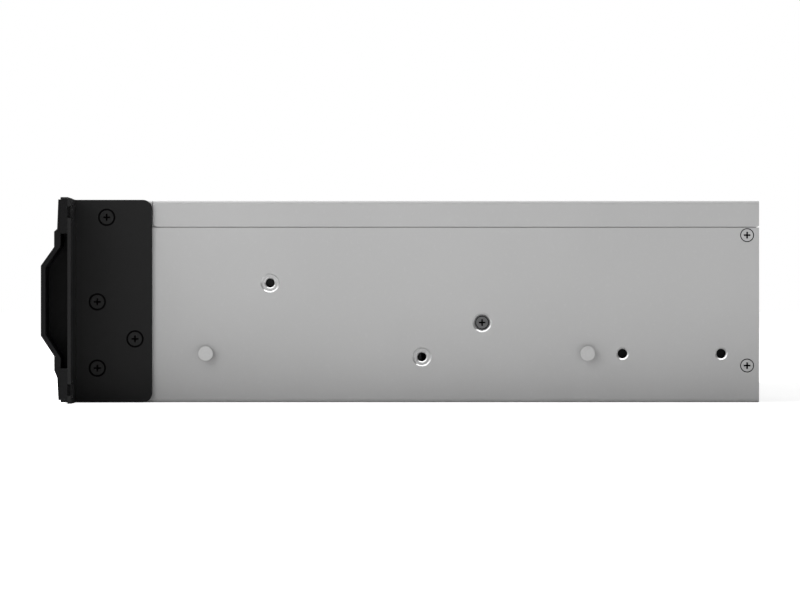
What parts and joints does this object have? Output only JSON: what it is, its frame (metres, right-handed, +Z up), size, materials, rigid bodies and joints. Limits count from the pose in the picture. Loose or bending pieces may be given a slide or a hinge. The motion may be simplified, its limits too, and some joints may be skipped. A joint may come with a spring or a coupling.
{
  "type": "rack-mount nas",
  "caption": "Short two-unit rack-mount network storage box with hot-swap drive trays, black rack ears with bow grips, a grey sheet-steel body and a slide-off cover.",
  "frame": {"origin": "centre of the bounding box's footprint, on the plane that the box rests on", "axes": "+X to the right seen from the front, -Y towards the front with its trays, +Z up"},
  "size_m": [0.482, 0.31, 0.0886],
  "materials": {
    "grey_sheet": "fine powder coat, satin",
    "black_sheet": "fine powder coat, satin",
    "zinc_sheet": "zinc-plated sheet, dull",
    "grip_plastic": "fine moulded grain",
    "tray_plastic": "fine moulded grain",
    "lever_plastic": "smooth moulded",
    "button_plastic": "smooth",
    "clear_plastic": "clear light pipe",
    "black_screw": "blackened",
    "steel_screw": "zinc-plated",
    "circuit_board": "solder mask",
    "drive_case": "cast, dull",
    "cooler_metal": "extruded",
    "socket_shell": "tinned",
    "fan_plastic": "moulded",
    "supply_case": "zinc-plated sheet",
    "inlet_plastic": "moulded"
  },
  "bodies": {
    "chassis": {"chassis_pan": "grey_sheet", "front_top_plate": "grey_sheet", "rear_panel": "grey_sheet", "drive_cage": "zinc_sheet", "right_ear": "black_sheet", "left_ear": "black_sheet", "right_grip": "grip_plastic", "left_grip": "grip_plastic", "status_lights": "clear_plastic", "control_board": "circuit_board", "ear_screws": "black_screw", "steel_screws": "grey_sheet", "fan_screws": "steel_screw", "rail_studs": "steel_screw", "backplane": "circuit_board", "main_board": "circuit_board", "memory_modules": "circuit_board", "processor_cooler": "cooler_metal", "rear_sockets": "socket_shell", "slot_cover": "zinc_sheet", "fan_frames": "fan_plastic", "power_supply": "supply_case", "mains_inlet": "inlet_plastic", "supply_fan_frame": "fan_plastic"},
    "cover": {"top_cover": "grey_sheet", "cover_screws": "steel_screw"},
    "tray_1": {"tray_1": "tray_plastic", "drive_1": "drive_case"},
    "tray_lever_1": {"tray_lever_1": "lever_plastic"},
    "tray_2": {"tray_2": "tray_plastic", "drive_2": "drive_case"},
    "tray_lever_2": {"tray_lever_2": "lever_plastic"},
    "tray_3": {"tray_3": "tray_plastic", "drive_3": "drive_case"},
    "tray_lever_3": {"tray_lever_3": "lever_plastic"},
    "tray_4": {"tray_4": "tray_plastic", "drive_4": "drive_case"},
    "tray_lever_4": {"tray_lever_4": "lever_plastic"},
    "tray_5": {"tray_5": "tray_plastic", "drive_5": "drive_case"},
    "tray_lever_5": {"tray_lever_5": "lever_plastic"},
    "tray_6": {"tray_6": "tray_plastic", "drive_6": "drive_case"},
    "tray_lever_6": {"tray_lever_6": "lever_plastic"},
    "tray_7": {"tray_7": "tray_plastic", "drive_7": "drive_case"},
    "tray_lever_7": {"tray_lever_7": "lever_plastic"},
    "tray_8": {"tray_8": "tray_plastic", "drive_8": "drive_case"},
    "tray_lever_8": {"tray_lever_8": "lever_plastic"},
    "right_fan": {"right_fan_rotor": "fan_plastic"},
    "left_fan": {"left_fan_rotor": "fan_plastic"},
    "supply_fan": {"supply_fan_rotor": "fan_plastic"},
    "power_button": {"power_button": "button_plastic"},
    "mute_button": {"mute_button": "button_plastic"},
    "reset_button": {"reset_button": "button_plastic"}
  },
  "joints": [
    {"name": "cover_slide", "type": "slide", "parent": "chassis", "child": "cover", "axis": [0, 1, 0], "range_m": [0, 0.275]},
    {"name": "tray_1_slide", "type": "slide", "parent": "chassis", "child": "tray_1", "axis": [0, -1, 0], "range_m": [0, 0.165]},
    {"name": "tray_1_lever_hinge", "type": "hinge", "parent": "tray_1", "child": "tray_lever_1", "pos_m": [-0.2043, -0.1459, 0.0129], "axis": [0, 0, -1], "range_deg": [0, 65]},
    {"name": "tray_2_slide", "type": "slide", "parent": "chassis", "child": "tray_2", "axis": [0, -1, 0], "range_m": [0, 0.165]},
    {"name": "tray_2_lever_hinge", "type": "hinge", "parent": "tray_2", "child": "tray_lever_2", "pos_m": [-0.0981, -0.1459, 0.0129], "axis": [0, 0, -1], "range_deg": [0, 65]},
    {"name": "tray_3_slide", "type": "slide", "parent": "chassis", "child": "tray_3", "axis": [0, -1, 0], "range_m": [0, 0.165]},
    {"name": "tray_3_lever_hinge", "type": "hinge", "parent": "tray_3", "child": "tray_lever_3", "pos_m": [0.0081, -0.1459, 0.0129], "axis": [0, 0, -1], "range_deg": [0, 65]},
    {"name": "tray_4_slide", "type": "slide", "parent": "chassis", "child": "tray_4", "axis": [0, -1, 0], "range_m": [0, 0.165]},
    {"name": "tray_4_lever_hinge", "type": "hinge", "parent": "tray_4", "child": "tray_lever_4", "pos_m": [0.1143, -0.1459, 0.0129], "axis": [0, 0, -1], "range_deg": [0, 65]},
    {"name": "tray_5_slide", "type": "slide", "parent": "chassis", "child": "tray_5", "axis": [0, -1, 0], "range_m": [0, 0.165]},
    {"name": "tray_5_lever_hinge", "type": "hinge", "parent": "tray_5", "child": "tray_lever_5", "pos_m": [-0.2043, -0.1459, 0.0562], "axis": [0, 0, -1], "range_deg": [0, 65]},
    {"name": "tray_6_slide", "type": "slide", "parent": "chassis", "child": "tray_6", "axis": [0, -1, 0], "range_m": [0, 0.165]},
    {"name": "tray_6_lever_hinge", "type": "hinge", "parent": "tray_6", "child": "tray_lever_6", "pos_m": [-0.0981, -0.1459, 0.0562], "axis": [0, 0, -1], "range_deg": [0, 65]},
    {"name": "tray_7_slide", "type": "slide", "parent": "chassis", "child": "tray_7", "axis": [0, -1, 0], "range_m": [0, 0.165]},
    {"name": "tray_7_lever_hinge", "type": "hinge", "parent": "tray_7", "child": "tray_lever_7", "pos_m": [0.0081, -0.1459, 0.0562], "axis": [0, 0, -1], "range_deg": [0, 65]},
    {"name": "tray_8_slide", "type": "slide", "parent": "chassis", "child": "tray_8", "axis": [0, -1, 0], "range_m": [0, 0.165]},
    {"name": "tray_8_lever_hinge", "type": "hinge", "parent": "tray_8", "child": "tray_lever_8", "pos_m": [0.1143, -0.1459, 0.0562], "axis": [0, 0, -1], "range_deg": [0, 65]},
    {"name": "right_fan_spin", "type": "hinge", "parent": "chassis", "child": "right_fan", "pos_m": [0.072, 0.1401, 0.042], "axis": [0, 1, 0], "continuous": true},
    {"name": "left_fan_spin", "type": "hinge", "parent": "chassis", "child": "left_fan", "pos_m": [-0.01, 0.1401, 0.042], "axis": [0, 1, 0], "continuous": true},
    {"name": "supply_fan_spin", "type": "hinge", "parent": "chassis", "child": "supply_fan", "pos_m": [0.13905, 0.1416, 0.0232], "axis": [0, 1, 0], "continuous": true},
    {"name": "power_button_press", "type": "slide", "parent": "chassis", "child": "power_button", "axis": [0, 1, 0], "range_m": [0, 0.001], "stiffness_N_per_m": 600, "springref_m": -0.0005},
    {"name": "mute_button_press", "type": "slide", "parent": "chassis", "child": "mute_button", "axis": [0, 1, 0], "range_m": [0, 0.001], "stiffness_N_per_m": 600, "springref_m": -0.0005},
    {"name": "reset_button_press", "type": "slide", "parent": "chassis", "child": "reset_button", "axis": [0, -1, 0], "range_m": [0, 0.0008], "stiffness_N_per_m": 600, "springref_m": -0.0005}
  ]
}
